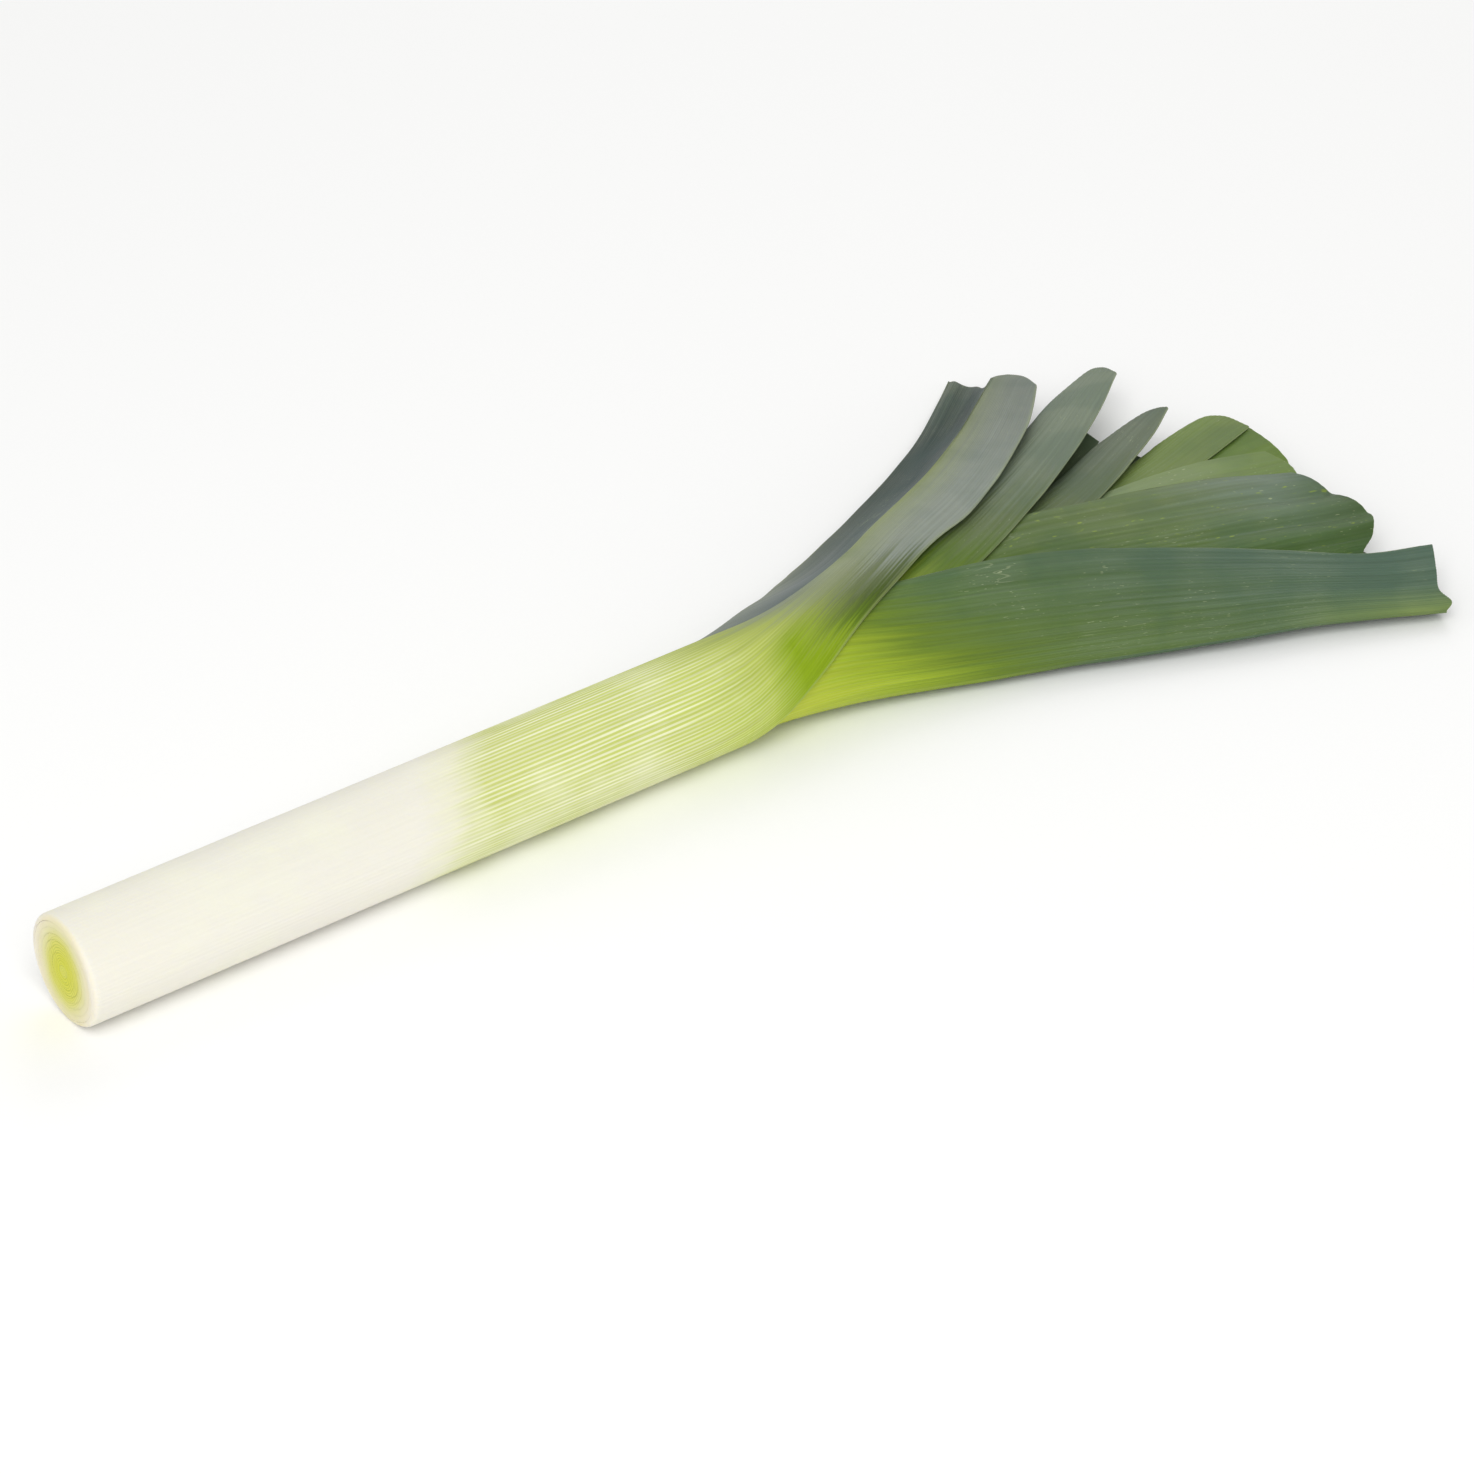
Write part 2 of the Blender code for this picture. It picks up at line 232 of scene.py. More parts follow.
# The leaves, from the outermost in, to the left and the right of the shaft by turns
FAN = [
    Leaf(1, 256, veins=42,
         keel=[(250, 19), (290, 19.5), (320, 27), (347, 38), (378, 51.5), (405, 68), (440, 94),
               (462, 112)],
         upper=[(256, -19), (280, -12), (310, 0), (331, 8), (356, 18), (376, 24), (398, 36), (419, 50),
                (438, 65), (461, 88)],
         lower=[(256, -19), (262, -16), (270, -9), (281, 3), (300, 12), (330, 20), (462, 70)],
         upper_end=[(0, 455), (0.4, 460), (0.7, 464), (1, 461)],
         lower_end=[(0, 455), (0.25, 456), (0.5, 461), (0.75, 458), (1, 460)],
         look=Look(
             front=(250, 100, -42),
             # Past the mouth the upper half is painted light grey, a painted highlight where it faces the
             # light.
             zones=[(-122, "#EBE8DA", "#F3EFE3"), (-109, "#E5E3C8", "#EDEBD3"),
                    (-97, "#C9D07A", "#CED57C"), (-60, "#C6D070", "#C1CE58"), (-24, "#BAC65C", "#A4BA2C"),
                    (-6, "#AEBB58", "#638010"), (10, "#9DA878", "#4C601A"), (24, "#98A084", "#627142"),
                    (38, "#A0A896", "#979F92"), (56, "#9CA496", "#99A195"), (90, "#97A094", "#979F94"),
                    (150, "#8A9286", "#878F84"), (200, "#828C7D", "#7F8A7B")],
             # The far half is painted dark teal past the mouth as painted shade, since it turns away from
             # the light, and paler towards its curled margin at the cut end as a painted highlight.
             shaded_lower_zones=[(-122, "#F2EFE2", "#F3EFE3"), (-108, "#EDEAD2", "#F0EEDB"),
                          (-95, "#C9CF78", "#D0D584"), (-60, "#BECA62", "#C3CF62"),
                          (-24, "#A7B070", "#A3AC74"), (-2, "#90988B", "#8C9483"),
                          (25, "#7B8482", "#6A7468"), (60, "#4A5C58", "#424F45"),
                          (110, "#334644", "#33423A"), (150, "#33433F", "#5A6752"),
                          (200, "#44544B", "#8A9384")],
             keel_colour="#9DA952", keel_share=0.72, keel_from=285, margin_colour="#B3C07A",
             keel_until=385, margin_strength=0.35, stripes=0.85, green_patch=0.92)),
    Leaf(2, 272, veins=34,
         keel=[(262, 16.9), (298, 21), (325, 28), (367, 42), (423, 64), (455, 76), (494, 94), (515, 103)],
         upper=[(272, -16.9), (300, -13), (332, -7), (355, -3), (399, 10), (425, 23), (444, 34),
                (462, 46), (484, 61), (509, 70)],
         lower=[(272, -16.9), (310, -9), (350, 4), (400, 20), (440, 38), (509, 76)],
         upper_end=[(0, 495), (0.3, 498), (0.5, 497), (0.75, 502), (1, 509)],
         lower_end=[(0, 495), (0.5, 498), (1, 500)],
         look=Look(
             front=(345, -62, 10),
             zones=[(-60, "#B9C53C", "#C3CD50"), (-22, "#9CB22A", "#A2B72C"), (8, "#728C2C", "#708B2C"),
                    (40, "#668040", "#5E7B42"), (90, "#5F7848", "#58724B"), (150, "#5F785C", "#5A725A"),
                    (210, "#5C7660", "#5B7460")],
             shaded_lower_zones=[(-60, "#B9C53C", "#C6CF52"), (0, "#8FA83A", "#7C9734"),
                          (40, "#5A7450", "#56704E"), (170, "#4C6658")],
             keel_colour="#9DB256", keel_share=0.6, keel_from=440, margin_colour="#7F9468")),
    Leaf(3, 282, veins=28,
         keel=[(268, 14.8), (300, 16), (330, 23), (360, 32), (395, 46), (435, 66), (462, 82), (500, 104)],
         upper=[(282, -14.8), (315, -10), (362, 2), (395, 16), (435, 38), (473, 64.5), (494, 82)],
         lower=[(282, -14.8), (320, -6), (362, 6), (400, 20), (440, 42), (470, 60)],
         upper_end=[(0, 462), (0.25, 470), (0.45, 488), (0.7, 495), (1, 494)],
         lower_end=[(0, 461), (0.5, 466), (1, 467)],
         look=Look(
             front=(318, 0, 24),
             zones=[(-40, "#C2CC50"), (-5, "#8FA53C", "#88A034"), (22, "#688228", "#5E7A22"),
                    (50, "#6F7F4E", "#67784A"), (85, "#7F8C73", "#7B8870"), (130, "#86937D", "#84917A"),
                    (175, "#87947E", "#84917B")],
             # The lower half, which shows between leaves 3 and 5, is painted dark as painted shade.
             shaded_lower_zones=[(-40, "#C2CC50"), (0, "#8CA23C"), (40, "#4E5F38"), (150, "#46543A", "#4E5C42")],
             keel_colour="#8C9A6C", keel_share=0.1, keel_from=330, margin_colour="#93A07E")),
    Leaf(4, 290, veins=28,
         keel=[(276, 12.7), (305, 15), (340, 23), (380, 33), (430, 46), (487, 60), (515, 66)],
         upper=[(290, -12.7), (330, -14), (365, -17), (396, -17), (423, -12), (442, -8), (465, -1),
                (498, 12)],
         lower=[(290, -12.7), (340, -8), (400, 4), (450, 18), (498, 30)],
         upper_end=[(0, 486), (0.3, 491), (0.45, 499), (0.6, 504), (0.8, 500), (1, 496)],
         lower_end=[(0, 486), (0.5, 498), (1, 495)],
         look=Look(
             front=(320, 0, 10),
             zones=[(-40, "#BFCB48"), (-5, "#7F9838", "#8DA53A"), (25, "#5A7A1C", "#617B2A"),
                    (60, "#51701A", "#60773A"), (110, "#53722C", "#70834E"), (150, "#4F6E2E", "#7A8C78"),
                    (180, "#46622A", "#586F48")],
             shaded_lower_zones=[(-40, "#BFCB48"), (20, "#6F8A3C"), (120, "#4E6640")],
             keel_colour="#769045", keel_share=0.08, keel_from=340, margin_colour="#8C9C7A", flecks=0.6)),
    Leaf(5, 298, veins=22,
         keel=[(284, 10.6), (310, 12), (345, 18), (390, 27), (426, 35), (455, 47), (500, 66)],
         upper=[(298, -10.6), (350, -6), (395, 2), (426, 13), (457, 28.5), (477, 40), (492, 51)],
         lower=[(298, -10.6), (350, -3), (400, 8), (450, 27), (490, 46)],
         upper_end=[(0, 456), (0.3, 463), (0.5, 479), (0.8, 489), (1, 492)],
         lower_end=[(0, 455), (0.5, 464), (1, 470)],
         look=Look(
             front=(330, 0, 16),
             zones=[(-40, "#BFCB48"), (0, "#87A03C"), (35, "#667B42", "#62773C"),
                    (75, "#6B7952", "#68774C"), (110, "#707C64", "#6E7A62"), (160, "#77816D", "#75806A")],
             shaded_lower_zones=[(-40, "#BFCB48"), (20, "#7A9040"), (120, "#566848")],
             keel_colour="#83946A", keel_share=0.1, keel_from=350, margin_colour="#8E9B78")),
    Leaf(6, 306, veins=22,
         keel=[(292, 8.5), (320, 10), (360, 17), (410, 27), (460, 34), (515, 40)],
         upper=[(306, -8.5), (350, -12), (400, -15), (441, -17), (475, -13), (503, -5)],
         lower=[(306, -8.5), (360, -8), (440, -4), (503, 8)],
         upper_end=[(0, 490), (0.6, 495), (0.9, 501), (1, 499)],
         lower_end=[(0, 490), (0.5, 494), (1, 494)],
         look=Look(
             front=(335, 0, 10),
             # The lighter colours by the free margin at 80 and 120 mm are a painted highlight along the
             # upper margin.
             zones=[(-40, "#C0CC48"), (10, "#8DA53A", "#87A038"), (50, "#728D3C", "#6E893A"),
                    (80, "#788C52", "#8C9F6C"), (120, "#74884A", "#889C64"), (160, "#6A8334", "#748E40")],
             shaded_lower_zones=[(-40, "#C0CC48"), (30, "#7A9440"), (120, "#5E783F")],
             keel_colour="#8BA050", keel_share=0.08, keel_from=360, margin_colour="#7E925C")),
    Leaf(7, 314, veins=18,
         keel=[(300, 6.4), (330, 8), (370, 14), (420, 22), (461, 32), (491, 42), (515, 49)],
         upper=[(314, -6.4), (360, -3), (420, 3), (479, 15), (508, 24)],
         lower=[(314, -6.4), (360, -2), (420, 6), (508, 28)],
         upper_end=[(0, 473), (0.2, 480), (0.4, 498), (0.6, 504), (1, 507)],
         lower_end=[(0, 472), (0.4, 488), (1, 496)],
         look=Look(
             front=(340, 0, 10),
             zones=[(-40, "#C4CF48"), (20, "#86A036"), (60, "#70902A", "#6A862C"),
                    (100, "#7E9448", "#7C904C"), (150, "#7C9446", "#788C4A")],
             shaded_lower_zones=[(-40, "#C4CF48"), (30, "#86A03C"), (120, "#5F7C34")],
             keel_colour="#8FA850", keel_share=0.1, keel_from=370, margin_colour="#93A86A")),
    Leaf(8, 322, veins=18,
         keel=[(308, 4.3), (340, 6), (400, 12), (460, 17), (515, 20)],
         upper=[(322, -4.3), (370, -9), (430, -17), (480, -24), (509, -28)],
         lower=[(322, -4.3), (370, -7), (430, -12), (509, -20)],
         upper_end=[(0, 496), (0.6, 502), (0.8, 507), (1, 508)],
         lower_end=[(0, 495), (0.5, 498), (1, 498)],
         look=Look(
             front=(345, 0, 10),
             zones=[(-40, "#C8D24A"), (30, "#8FA838"), (80, "#76942A", "#6E8C2C"),
                    (150, "#6E8C2E", "#6A8432")],
             shaded_lower_zones=[(-40, "#C8D24A"), (30, "#8CA63C"), (120, "#64803A")],
             keel_colour="#93AC4C", keel_share=0.1, keel_from=380, margin_colour="#8FA65C")),
]


# The rule of the leaves

def follow(points, x):
    """Value at x of a smooth curve through (position, value) points, level outside them."""
    at, value = np.array(points, float).T
    slope = np.gradient(value, at)
    slope[0] = 0.0
    x = np.clip(x, at[0], at[-1])
    i = np.clip(np.searchsorted(at, x, side="right") - 1, 0, len(at) - 2)
    width = at[i + 1] - at[i]
    t = (x - at[i]) / width
    rise = value[i + 1] - value[i]
    a = slope[i] * width - rise
    b = rise - slope[i + 1] * width
    return value[i] + rise * t + t * (1 - t) * (a * (1 - t) + b * t)


def smooth(start, end, x):
    t = np.clip((x - start) / (end - start), 0, 1)
    return t * t * (3 - 2 * t)


def reach(leaf, x):
    """How far the leaf's fold lies from the axis, and how far its oval reaches on the other side."""
    own = follow(leaf.keel, x)
    pitch = SHEATH_PITCH * follow(FLATNESS, x)
    if leaf.number == 1:
        return own, follow(FAN[1].keel, x) + SHEATH_PITCH
    outer = follow(FAN[leaf.number - 2].keel, x)
    if leaf.number == LEAVES:
        return own, outer - pitch
    return own, (outer + follow(FAN[leaf.number].keel, x)) / 2


def wall_thickness(x):
    return SHEATH_PITCH * follow(FLATNESS, x) - follow(GAP, x)


def margin_angle(leaf, x, margin):
    """How far round its oval a half reaches at x, from its fold to its free margin."""
    own, other = reach(leaf, x)
    edge = np.clip(follow(margin, x), -other, own)
    angle = np.arccos(np.where(edge > 0, edge / own, edge / other))
    return np.where(x <= leaf.mouth, np.pi, angle)


def vein_share(leaf, x, share, margin):
    """Share of the way from fold to margin as the veins count it. They turn gently where the leaf narrows
    past its mouth, and the free margin turns sharply."""
    steps = np.linspace(-VEIN_EASE, VEIN_EASE, VEIN_EASE_STEPS)
    weights = 1 + LEAST_WEIGHT - np.abs(steps) / VEIN_EASE
    eased = sum(weight * margin_angle(leaf, x + step, margin) for step, weight in zip(steps, weights))
    return share * margin_angle(leaf, x, margin) * weights.sum() / eased


def oval_half(leaf, x, share, margin):
    """Outer and inner points of half an oval: share is 0 at the fold and 1 at the free margin."""
    own, other = reach(leaf, x)
    height = leaf.radius * follow(FLATNESS, x)
    wall = wall_thickness(x)
    turn = margin_angle(leaf, x, margin) * share
    across = np.where(turn < np.pi / 2, own, other) * np.cos(turn)
    up = height * np.sin(turn)
    thin = np.where(turn < np.pi / 2, own - wall, other - wall) * np.cos(turn)
    sheath_up = (height - wall) * np.sin(turn)
    blade_up = up * up / (up + wall + TINY)
    blade = smooth(leaf.mouth, leaf.mouth + BLADE_FORMS, x)
    return (across, up), (thin, sheath_up + blade * (blade_up - sheath_up))


def rise_of_upper_half(leaf, x, share):
    """What lifts an upper half off its oval: the ridge of leaf 1 and the pleats of leaf 4."""
    if leaf.number == 1:
        return follow(RIDGE, x) * (1 - share) ** 2
    if leaf.number == 4:
        free = np.clip((share - PLEAT_SHARE) / (1 - PLEAT_SHARE), 0, 1)
        return PLEAT * smooth(PLEAT_FROM, PLEAT_FULL, x) * np.abs(np.sin(PLEATS * np.pi * free))
    return 0 * x


def far_half(leaf, x, share):
    """Outer and inner points of the outer leaf's far half, straight from its ridge to its far margin."""
    own = follow(leaf.keel, x)
    ridge = follow(RIDGE, x)
    along, rise = follow(FAR_MARGIN_OUT, x) - own, follow(FAR_MARGIN_UP, x) - ridge
    length = np.hypot(along, rise)
    normal = np.array([-rise, along]) / length
    end = smooth(CURL_FROM, CURL_FULL, x)
    sag = follow(FAR_SAG, x) * np.sin(np.pi * share) + CURL * end * np.sin(1.5 * np.pi * share)
    sag += FAR_WAVE * end * share * np.sin(FAR_WAVES * np.pi * share)
    outer = np.array([own + along * share, ridge + rise * share]) - normal * sag
    wall = wall_thickness(x)
    clear = smooth(0.0, FOLD_SHARE, share)
    down = np.array([0 * x, wall]) * (1 - clear)
    return outer, outer - normal * wall * clear - down


def place(leaf, x, across, up):
    """World point, in metres, of a point of the fan's own section at x."""
    v = leaf.side * across
    roll = np.radians(follow(ROLL, x))
    y = v * np.cos(roll) - up * np.sin(roll)
    droop = follow(DROOP, x) * (np.maximum(v, 0) / 100) ** 2
    z = follow(MIDDLE, x) + v * np.sin(roll) + up * np.cos(roll) - droop
    return np.stack([x - ORIGIN_FROM_CUT, y, z], axis=-1) * MM


def sheath_rows(leaf):
    """Stations along the closed sheath, close together where its edge is rounded and near its mouth."""
    rounding = bpy.context.scene.leek_sizes.cut_rounding / MM
    edge = rounding * (1 - np.cos(np.linspace(0, np.pi / 2, EDGE_ROWS + 1)))
    collar = leaf.mouth - COLLAR_BEFORE_MOUTH
    return np.concatenate([edge, np.arange(rounding + 2, collar, SHEATH_STEP),
                           np.arange(collar, leaf.mouth - COLLAR_STEP / 2, COLLAR_STEP)])


def blade_shares(leaf):
    """Shares of the way from the mouth to the cut end, closer together round the collar."""
    length = max(at for _, at in leaf.upper_end) - leaf.mouth
    collar = np.arange(0, COLLAR_LENGTH, COLLAR_STEP)
    blade = np.linspace(COLLAR_LENGTH, length, int((length - COLLAR_LENGTH) / BLADE_STEP) + 2)
    return np.concatenate([collar, blade]) / length


def half_grid(leaf, side):
    """Outer and inner points of the half above or below the fold, and where each one is: how far along, its
    share of the way to the free margin, and that share as the veins count it."""
    share = np.linspace(0, 1, leaf.columns + 1)
    ends = follow(leaf.upper_end if side > 0 else leaf.lower_end, share)
    sheath = np.repeat(sheath_rows(leaf)[:, None], len(share), axis=1)
    blade = leaf.mouth + blade_shares(leaf)[:, None] * (ends - leaf.mouth)
    x = np.concatenate([sheath, blade])
    share = np.broadcast_to(share, x.shape)
    margin = leaf.upper if side > 0 else leaf.lower
    outer, inner = oval_half(leaf, x, share, margin)
    vein = vein_share(leaf, x, share, margin)
    outer = np.array([outer[0], side * outer[1]])
    inner = np.array([inner[0], side * inner[1]])
    if side > 0:
        lift = np.array([0 * x, rise_of_upper_half(leaf, x, share)])
        outer, inner = outer + lift, inner + lift
    elif leaf.number == 1:
        far_outer, far_inner = far_half(leaf, x, share)
        swing = follow(SWING, x - SWING_LAG * share ** 1.5)
        outer = outer + swing * (far_outer - outer)
        inner = inner + swing * (far_inner - inner)
        vein = share
    return place(leaf, x, *outer), place(leaf, x, *inner), np.stack([x, share, vein])


def rounded_cut(leaf, outer):
    """The outer sheath with its cut edge rounded."""
    if leaf.number > 1:
        return outer
    rounding = bpy.context.scene.leek_sizes.cut_rounding / MM
    away = rounding - np.clip((outer[..., 0] - CUT_FACE.x) / MM, 0, rounding)
    drawn_in = rounding - np.sqrt(np.maximum(rounding ** 2 - away ** 2, 0))
    centre = np.array([0, 0, CUT_FACE.z])
    spoke = (outer - centre) * [0, 1, 1]
    return outer - spoke * (drawn_in / SHAFT_RADIUS)[..., None]


class Shell:
    """A mesh in the making: points with their "skin" and "share" values, and quads with UVs."""

    def __init__(self):
        self.points, self.skin, self.share, self.faces, self.uvs = [], [], [], [], []
        self.count = 0

    def add(self, points, skin, share):
        """Adds points, and gives their numbers in the same arrangement."""
        shape = points.shape[:-1]
        numbers = self.count + np.arange(math.prod(shape)).reshape(shape)
        self.points.append(points.reshape(-1, 3))
        self.skin.append(np.full(numbers.size, skin))
        self.share.append(np.broadcast_to(share, shape).ravel())
        self.count += numbers.size
        return numbers

    def strip(self, a, b, a_uv, b_uv):
        """Quads between two lines of points."""
        self.faces.append(np.stack([a[:-1], a[1:], b[1:], b[:-1]], axis=1))
        self.uvs.append(np.stack([a_uv[:-1], a_uv[1:], b_uv[1:], b_uv[:-1]], axis=1))

    def mesh(self, name):
        """The closed mesh, with its normals outwards."""
        mesh = bpy.data.meshes.new(name)
        mesh.from_pydata(np.concatenate(self.points), [], np.concatenate(self.faces))
        for values, kept in (("skin", self.skin), ("share", self.share)):
            mesh.attributes.new(values, "FLOAT", "POINT").data.foreach_set("value", np.concatenate(kept))
        uvs = np.concatenate(self.uvs).astype(np.float32)
        mesh.uv_layers.new(name="leaf").data.foreach_set("uv", uvs.ravel())
        bm = bmesh.new()
        bm.from_mesh(mesh)
        bmesh.ops.recalc_face_normals(bm, faces=bm.faces)
        bm.to_mesh(mesh)
        bm.free()
        mesh.shade_smooth()
        return mesh


def leaf_mesh(leaf):
    """A closed body: two faces, a rounded wall along each free margin, and the cuts at both ends.

    Its UV map "leaf" holds the way from margin to margin, as the veins count it, and the distance along. Its
    attribute "share" is 0 at the fold and 1 at a free margin, and "skin" is 1 on the outer face, -1 on the
    inner face and 0 half way through the walls between them."""
    up_outer, up_inner, up_at = half_grid(leaf, 1)
    low_outer, low_inner, low_at = half_grid(leaf, -1)
    outer = rounded_cut(leaf, np.concatenate([low_outer[:, :0:-1], up_outer], axis=1))
    outer[..., 2] = np.maximum(outer[..., 2], 0.0)
    inner = np.concatenate([low_inner[:, :0:-1], up_inner], axis=1)
    along, share, vein = np.concatenate([low_at[:, :, :0:-1], up_at], axis=2)
    rows, columns = along.shape
    mouth = len(sheath_rows(leaf))
    vein[:, :leaf.columns] *= -1
    uv = np.stack([(1 + vein) / 2, along / UV_LENGTH], axis=-1)

    shell = Shell()
    out, into = shell.add(outer, 1.0, share), shell.add(inner, -1.0, share)
    for grid in (out, into):
        grid[:mouth + 1, -1] = grid[:mouth + 1, 0]
    for i in range(rows - 1):
        shell.strip(out[i], out[i + 1], uv[i], uv[i + 1])
        shell.strip(into[i + 1], into[i], uv[i + 1], uv[i])

    bulge = np.array([CUT_BULGE * MM, 0, 0])
    for row, lift in ((0, bulge), (-1, 0 * bulge)):
        middle = shell.add((outer[row] + inner[row]) / 2 - lift, 0.0, share[row])
        if row == 0:
            middle[-1] = middle[0]
        shell.strip(into[row], middle, uv[row], uv[row])
        shell.strip(middle, out[row], uv[row], uv[row])
    crotch = shell.add((outer[mouth, :1] + inner[mouth, :1]) / 2, 0.0, 1.0)
    for j, beside in ((0, 1), (-1, -2)):
        edge_out, edge_in = outer[mouth + 1:-1, j], inner[mouth + 1:-1, j]
        outwards = edge_out - outer[mouth + 1:-1, beside]
        outwards /= np.linalg.norm(outwards, axis=1, keepdims=True) + TINY
        thickness = np.linalg.norm(edge_out - edge_in, axis=1, keepdims=True)
        rounded = shell.add((edge_out + edge_in) / 2 + outwards * thickness * MARGIN_BULGE, 0.0, 1.0)
        line = np.concatenate([crotch, rounded, middle[[j]]])
        shell.strip(out[mouth:, j], line, uv[mouth:, j], uv[mouth:, j])
        shell.strip(line, into[mouth:, j], uv[mouth:, j], uv[mouth:, j])
    return shell.mesh(leaf.name)


def heart_mesh():
    """The youngest leaves, still rolled tight: a slim rod with a rounded tip."""
    bm = bmesh.new()
    along_x = Matrix.Rotation(math.pi / 2, 4, "Y")
    middle = Vector((HEART_END / 2 - ORIGIN_FROM_CUT, 0, AXIS_HEIGHT)) * MM
    bmesh.ops.create_cone(bm, cap_ends=True, segments=HEART_SIDES, radius1=HEART_RADIUS * MM,
                          radius2=HEART_RADIUS * MM, depth=HEART_END * MM,
                          matrix=Matrix.Translation(middle) @ along_x)
    tip = [edge for edge in bm.edges if all(v.co.x > middle.x for v in edge.verts)]
    bmesh.ops.bevel(bm, geom=tip, offset=HEART_TIP * MM, segments=HEART_TIP_ROWS, profile=0.5,
                    affect="EDGES")
    mesh = bpy.data.meshes.new("heart")
    bm.to_mesh(mesh)
    bm.free()
    mesh.shade_smooth()
    mesh.set_sharp_from_angle(angle=math.radians(SHARP_ANGLE))
    return mesh


# Nodes

def add(tree, kind, inputs=(), **settings):
    """Adds a node, with its settings, and fills or links its inputs by place or name."""
    made = tree.nodes.new(kind)
    for name, value in settings.items():
        setattr(made, name, value)
    for key, value in inputs.items() if isinstance(inputs, dict) else enumerate(inputs):
        if isinstance(value, bpy.types.Node):
            value = next(socket for socket in value.outputs if socket.enabled)
        if isinstance(value, bpy.types.NodeSocket):
            tree.links.new(value, made.inputs[key])
        else:
            made.inputs[key].default_value = value
    return made


def calc(tree, operation, *values):
    return add(tree, "ShaderNodeMath", values, operation=operation)


def product(tree, *values):
    whole = values[0]
    for value in values[1:]:
        whole = calc(tree, "MULTIPLY", whole, value)
    return whole


def ramp(tree, value, low, high, start=0.0, end=1.0):
    """Goes from start to end while the value goes from low to high, and is level outside them."""
    return add(tree, "ShaderNodeMapRange", [value, low, high, start, end])


def stretched(tree, vector, factors):
    return add(tree, "ShaderNodeVectorMath", [vector, factors], operation="MULTIPLY")


def noise(tree, at, scale, detail, seed=None, **more):
    """Smooth noise over space or over a UV map, with another pattern for each seed."""
    inputs = {"Vector": at, "Scale": scale, "Detail": detail, **more}
    if seed is None:
        return add(tree, "ShaderNodeTexNoise", inputs)
    return add(tree, "ShaderNodeTexNoise", {"W": seed, **inputs}, noise_dimensions="4D")


def blend(tree, share, first, second):
    """Colour that passes from the first to the second as the share goes from 0 to 1."""
    return add(tree, "ShaderNodeMix", {SHARE: share, FIRST: first, SECOND: second}, data_type="RGBA")


def relief_tree():
    """Geometry Nodes that raise a leaf's veins on its outer face and wave its blade."""
    tree = bpy.data.node_groups.new("leaf relief", "GeometryNodeTree")
    for name in ("Leaf", "Veins", "Vein Height", "Wave Height", "Wave Length", "Mouth", "Seed", "Flesh"):
        kind = {"Leaf": "Geometry", "Flesh": "Material"}.get(name, "Float")
        tree.interface.new_socket(name, in_out="INPUT", socket_type=f"NodeSocket{kind}")
    tree.interface.new_socket("Leaf", in_out="OUTPUT", socket_type="NodeSocketGeometry")
    given = tree.nodes.new("NodeGroupInput").outputs
    uv = add(tree, "GeometryNodeInputNamedAttribute", {"Name": "leaf"}, data_type="FLOAT_VECTOR")
    skin = add(tree, "GeometryNodeInputNamedAttribute", {"Name": "skin"}, data_type="FLOAT")
    at = add(tree, "ShaderNodeSeparateXYZ", [uv]).outputs
    position = add(tree, "GeometryNodeInputPosition")

    # Veins on the outer face, stronger in some places than in others
    crest = calc(tree, "COSINE", product(tree, at["X"], given["Veins"], 2 * math.pi))
    strength = noise(tree, stretched(tree, uv, VEIN_PATCHES), 1.0, 2.0, given["Seed"])
    outer = calc(tree, "MAXIMUM", skin, 0.0)
    vein = product(tree, crest, strength, outer, given["Vein Height"])

    # Swells that move both faces of the blade together, and hardly touch the sheath
    frequency = calc(tree, "DIVIDE", 1.0, given["Wave Length"])
    swell = calc(tree, "SUBTRACT", noise(tree, position, frequency, 1.0, given["Seed"]), 0.5)
    past = calc(tree, "SUBTRACT", at["Y"], given["Mouth"])
    on_blade = ramp(tree, past, 0.0, SWELL_GROWTH, SHEATH_SWELL, 1.0)
    swell = product(tree, swell, on_blade, skin, given["Wave Height"])

    lift = calc(tree, "ADD", vein, swell)
    push = add(tree, "ShaderNodeVectorMath", {0: add(tree, "GeometryNodeInputNormal"), "Scale": lift},
               operation="SCALE")
    moved = add(tree, "ShaderNodeVectorMath", [position, push], operation="ADD")
    apart = add(tree, "ShaderNodeSeparateXYZ", [moved]).outputs
    above_floor = calc(tree, "MAXIMUM", apart["Z"], 0.0)
    rest = add(tree, "ShaderNodeCombineXYZ", [apart["X"], apart["Y"], above_floor])
    shaped = add(tree, "GeometryNodeSetPosition", {"Geometry": given["Leaf"], "Position": rest})
    whole = add(tree, "GeometryNodeRealizeInstances", [shaped])
    dressed = add(tree, "GeometryNodeSetMaterial", {"Geometry": whole, "Material": given["Flesh"]})
    add(tree, "NodeGroupOutput", [dressed])
    return tree


def raise_relief(obj, tree, values):
    """Runs the relief on a piece, and leaves it a plain mesh."""
    modifier = obj.modifiers.new("relief", "NODES")
    modifier.node_group = tree
    for item in tree.interface.items_tree:
        if item.name in values:
            modifier[item.identifier] = values[item.name]
    depsgraph = bpy.context.evaluated_depsgraph_get()
    mesh = bpy.data.meshes.new_from_object(obj.evaluated_get(depsgraph), preserve_all_data_layers=True,
                                           depsgraph=depsgraph)
    obj.modifiers.clear()
    obj.data = mesh
    mesh.name = obj.name
    mesh.shade_smooth()
    mesh.set_sharp_from_angle(angle=math.radians(SHARP_ANGLE))


# Materials

def new_material(name):
    """A material, its node tree and its surface shader."""
    material = bpy.data.materials.new(name)
    material.use_nodes = True
    return material, material.node_tree, material.node_tree.nodes["Principled BSDF"]


